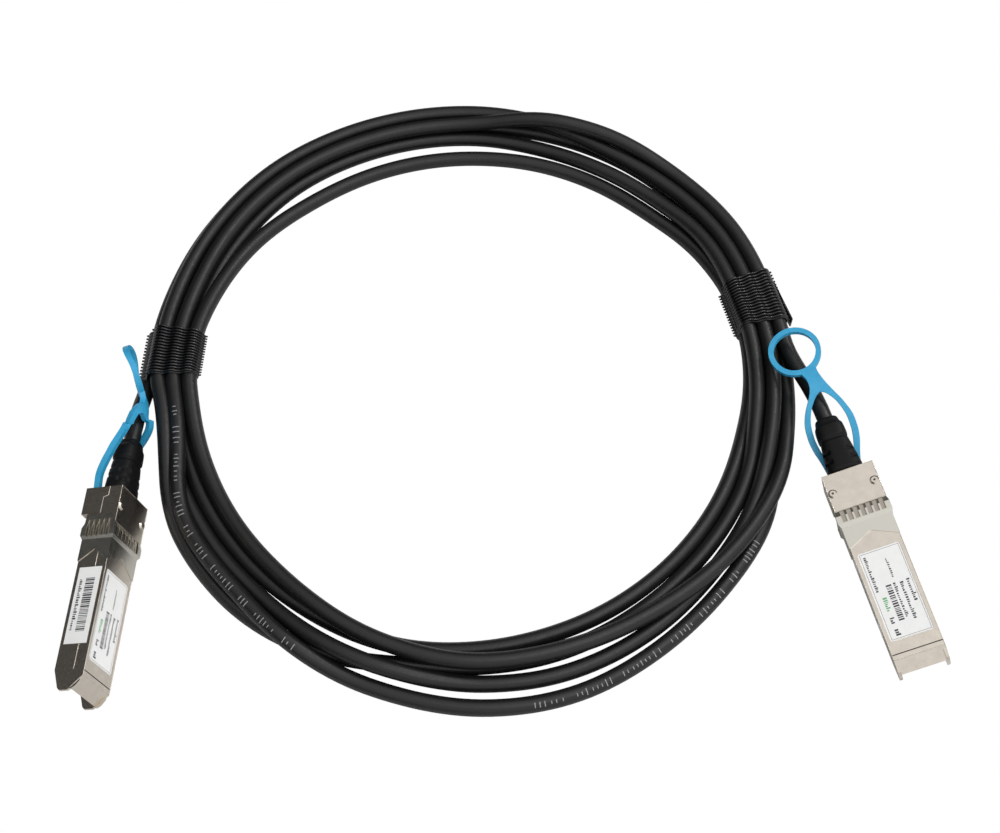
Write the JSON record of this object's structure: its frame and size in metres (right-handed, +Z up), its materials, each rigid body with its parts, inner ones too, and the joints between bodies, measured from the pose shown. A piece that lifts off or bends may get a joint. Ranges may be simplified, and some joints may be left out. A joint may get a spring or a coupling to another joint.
{
  "type": "direct attach copper cable",
  "caption": "Coiled twin-axial copper network cable held by ribbed ties, with a metal pluggable connector and a blue finger-ring pull tab on each end.",
  "frame": {"origin": "on the surface the part lies on, below the middle of the box round the two connectors", "axes": "+Z up from the surface; +X from the left connector to the right one as seen from the noses; +Y from the connector noses towards the coil"},
  "size_m": [0.2289, 0.2015, 0.0219],
  "materials": {
    "nickel_casting": "nickel plated zinc die casting, satin",
    "plated_sheet": "plated steel sheet",
    "circuit_board": "green solder mask",
    "gold_contacts": "gold plated",
    "black_moulding": "black moulded plastic, fine satin",
    "clear_grey_potting": "hardened potting",
    "wire_insulation": "smooth insulation",
    "label_paper": "white coated paper",
    "blue_elastomer": "soft blue elastomer, satin",
    "cable_jacket": "smooth black jacket, satin",
    "tie_nylon": "black ribbed nylon"
  },
  "bodies": {
    "cable_assembly": {"top_shell_a": "nickel_casting", "bottom_shell_a": "nickel_casting", "rivets_a": "nickel_casting", "emi_shield_a": "plated_sheet", "paddle_card_a": "circuit_board", "edge_contacts_a": "gold_contacts", "chip_a": "black_moulding", "wire_block_a": "clear_grey_potting", "twinax_wires_a": "wire_insulation", "crimp_ferrule_a": "plated_sheet", "strain_relief_a": "black_moulding", "main_label_a": "label_paper", "side_label_a": "label_paper", "pivot_pin_a": "plated_sheet", "top_shell_b": "nickel_casting", "bottom_shell_b": "nickel_casting", "rivets_b": "nickel_casting", "emi_shield_b": "plated_sheet", "paddle_card_b": "circuit_board", "edge_contacts_b": "gold_contacts", "chip_b": "black_moulding", "wire_block_b": "clear_grey_potting", "twinax_wires_b": "wire_insulation", "crimp_ferrule_b": "plated_sheet", "strain_relief_b": "black_moulding", "main_label_b": "label_paper", "side_label_b": "label_paper", "pivot_pin_b": "plated_sheet", "cable_coil": "cable_jacket", "lead_a": "cable_jacket", "lead_b": "cable_jacket", "tie_left": "tie_nylon", "tie_right": "tie_nylon"},
    "release_a": {"release_slider_a": "plated_sheet", "pull_tab_a": "blue_elastomer"},
    "latch_a": {"latch_lever_a": "plated_sheet"},
    "release_b": {"release_slider_b": "plated_sheet", "pull_tab_b": "blue_elastomer"},
    "latch_b": {"latch_lever_b": "plated_sheet"}
  },
  "joints": [
    {"name": "pull_a", "type": "slide", "parent": "cable_assembly", "child": "release_a", "axis": [0.0628, 0.9977, -0.0262], "range_m": [0, 0.0022], "stiffness_N_per_m": 400, "springref_m": -0.002},
    {"name": "latch_pivot_a", "type": "hinge", "parent": "cable_assembly", "child": "latch_a", "pos_m": [-0.11022, -0.02779, 0.00855], "axis": [0.2919, -0.0434, -0.9555], "range_deg": [0, 6.8]},
    {"name": "pull_b", "type": "slide", "parent": "cable_assembly", "child": "release_b", "axis": [-0.2486, 0.9683, 0.0262], "range_m": [0, 0.0022], "stiffness_N_per_m": 400, "springref_m": -0.002},
    {"name": "latch_pivot_b", "type": "hinge", "parent": "cable_assembly", "child": "latch_b", "pos_m": [0.10178, -0.01918, 0.00418], "axis": [0.9373, 0.2337, 0.2587], "range_deg": [0, 6.8]}
  ],
  "couplings": [
    {"joint": "latch_pivot_a", "follows": "pull_a", "rad_per_m": 53.893},
    {"joint": "latch_pivot_b", "follows": "pull_b", "rad_per_m": 53.893}
  ]
}
